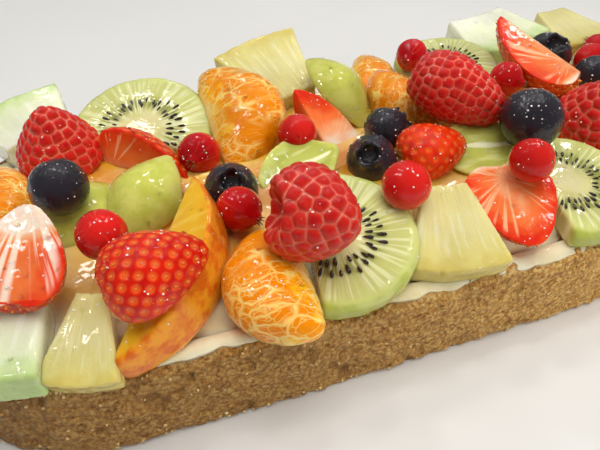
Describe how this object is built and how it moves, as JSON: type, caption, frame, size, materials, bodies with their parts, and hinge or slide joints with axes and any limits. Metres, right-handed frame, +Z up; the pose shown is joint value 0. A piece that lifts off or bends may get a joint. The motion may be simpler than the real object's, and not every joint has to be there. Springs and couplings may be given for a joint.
{
  "type": "fruit tart",
  "caption": "Long shallow shortcrust tray filled with pastry cream and heaped with glazed fruit: kiwi, mandarin, pineapple, melon, peach, grapes, strawberries and small berries.",
  "frame": {"origin": "middle of the tart's flat underside", "axes": "+X along the tart's length, +Y across its width, +Z up"},
  "size_m": [0.3013, 0.1288, 0.0601],
  "materials": {
    "crust": "dry baked shortcrust pastry, brown and grainy",
    "cream": "set pale pastry cream under a clear glaze",
    "redcurrant": "translucent dark red skin, glazed",
    "blueberry": "blue-black skin, glazed",
    "raspberry": "deep red drupelets, glazed",
    "strawberry": "red pitted skin and paler cut flesh, glazed",
    "grape": "translucent yellow-green, glazed",
    "mandarin": "translucent orange with pale membrane, glazed",
    "kiwi": "translucent yellow-green flesh with black seeds, glazed",
    "pineapple": "pale yellow fibrous flesh, glazed",
    "melon": "whitish green flesh, greener at the rim, glazed",
    "peach": "yellow flesh and orange-red skin, glazed"
  },
  "bodies": {
    "root": {"crust": "crust", "cream": "cream", "melon_chunk_1": "melon", "kiwi_slice_1": "kiwi", "mandarin_1": "mandarin", "mandarin_2": "mandarin", "pineapple_chunk_1": "pineapple", "kiwi_slice_2": "kiwi", "melon_wedge_1": "melon", "pineapple_wedge_1": "pineapple", "peach_wedge_1": "peach", "mandarin_3": "mandarin", "pineapple_wedge_2": "pineapple", "kiwi_slice_4": "kiwi", "strawberry_half_2": "strawberry", "mandarin_4": "mandarin", "mandarin_5": "mandarin", "kiwi_slice_3": "kiwi", "melon_chunk_2": "melon", "pineapple_chunk_2": "pineapple", "grape_half_5": "grape", "grape_half_4": "grape", "strawberry_wedge_1": "strawberry", "grape_half_1": "grape", "strawberry_half_1": "strawberry", "strawberry_wedge_2": "strawberry", "grape_half_3": "grape", "strawberry_wedge_3": "strawberry", "grape_half_2": "grape", "strawberry_1": "strawberry", "blueberry_3": "blueberry", "raspberry_1": "raspberry", "blueberry_1": "blueberry", "redcurrant_2": "redcurrant", "redcurrant_1": "redcurrant", "blueberry_2": "blueberry", "redcurrant_4": "redcurrant", "raspberry_2": "raspberry", "redcurrant_3": "redcurrant", "blueberry_4": "blueberry", "redcurrant_5": "redcurrant", "strawberry_2": "strawberry", "raspberry_3": "raspberry", "redcurrant_6": "redcurrant", "redcurrant_7": "redcurrant", "blueberry_6": "blueberry", "redcurrant_8": "redcurrant", "raspberry_4": "raspberry", "blueberry_5": "blueberry", "redcurrant_9": "redcurrant", "blueberry_7": "blueberry", "mandarin_6": "mandarin", "pineapple_wedge_3": "pineapple", "kiwi_slice_5": "kiwi", "kiwi_slice_6": "kiwi", "melon_wedge_2": "melon", "peach_wedge_2": "peach", "grape_half_6": "grape", "strawberry_half_3": "strawberry", "raspberry_5": "raspberry"}
  },
  "joints": []
}
